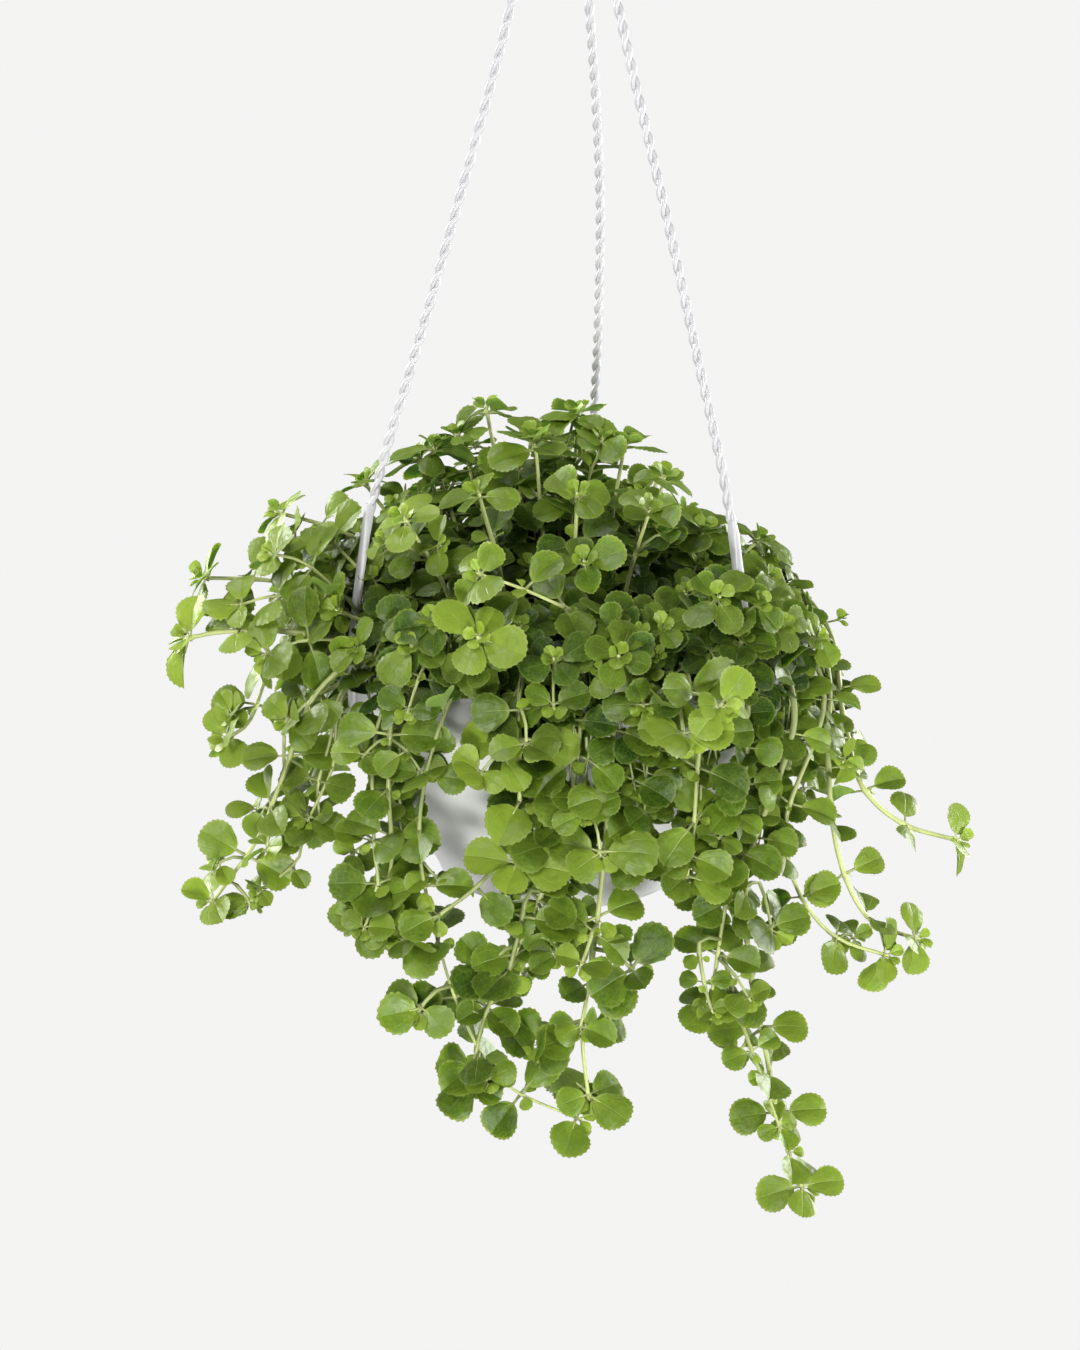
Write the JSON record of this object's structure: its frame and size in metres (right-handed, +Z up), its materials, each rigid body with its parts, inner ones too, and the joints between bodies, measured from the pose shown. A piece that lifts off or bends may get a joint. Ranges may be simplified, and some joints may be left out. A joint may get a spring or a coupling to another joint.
{
  "type": "potted hanging pilea",
  "caption": "Hanging potted pilea with small round scalloped leaves on trailing stems, in a white bowl pot held by a twisted plastic hanger with a hook.",
  "frame": {"origin": "the inside top of the hook, where the plant hangs", "axes": "+Z up, and the front of the plant faces -Y"},
  "size_m": [0.2483, 0.2195, 0.4789],
  "materials": {
    "pot_plastic": "thin satin white plastic, slightly translucent",
    "hanger_plastic": "glossy white twisted plastic",
    "soil": "dark crumbly potting mix",
    "leaf_green": "mid-green leaf with a soft sheen and pale green stems",
    "leaf_bright": "young yellow-green leaf with a soft sheen and pale green stems"
  },
  "bodies": {
    "root": {"pot": "pot_plastic", "soil": "soil", "hanger_hub": "hanger_plastic", "hanger_arm_left": "hanger_plastic", "hanger_arm_right": "hanger_plastic", "hanger_arm_back": "hanger_plastic", "crown_top_left": "leaf_green", "crown_top_middle": "leaf_green", "crown_top_back": "leaf_green", "crown_top_right": "leaf_green", "crown_upper_right": "leaf_green", "crown_middle_right": "leaf_green", "crown_upper_left": "leaf_green", "crown_bright_left": "leaf_bright", "crown_left": "leaf_green", "crown_front_bright": "leaf_bright", "crown_front_left": "leaf_green", "crown_front_middle": "leaf_green", "crown_front_star": "leaf_green", "crown_front_right": "leaf_green", "crown_right_top": "leaf_green", "crown_right": "leaf_green", "crown_left_front": "leaf_green", "crown_back_right": "leaf_green", "crown_back_middle": "leaf_green", "crown_back_left": "leaf_green", "crown_right_back": "leaf_green", "crown_left_back": "leaf_green", "crown_inner_left": "leaf_green", "crown_inner_front": "leaf_green", "crown_inner_right": "leaf_green", "crown_low_back_right": "leaf_green", "crown_low_back_left": "leaf_green", "crown_low_right": "leaf_green", "left_high_stem": "leaf_green", "left_upper_stem": "leaf_green", "left_long_stem": "leaf_bright", "left_lower_stem": "leaf_green", "left_trailing_stem": "leaf_green", "front_left_stem": "leaf_green", "front_left_long_stem": "leaf_green", "front_rosette_stem": "leaf_bright", "front_middle_stem": "leaf_green", "front_long_stem": "leaf_green", "front_bright_stem": "leaf_bright", "right_front_stem": "leaf_green", "right_cluster_stem": "leaf_green", "right_trailing_stem": "leaf_green", "right_lower_stem": "leaf_green", "right_down_stem": "leaf_green", "right_long_stem": "leaf_green", "back_right_stem": "leaf_green", "back_stem": "leaf_green", "back_left_stem": "leaf_green"}
  },
  "joints": []
}
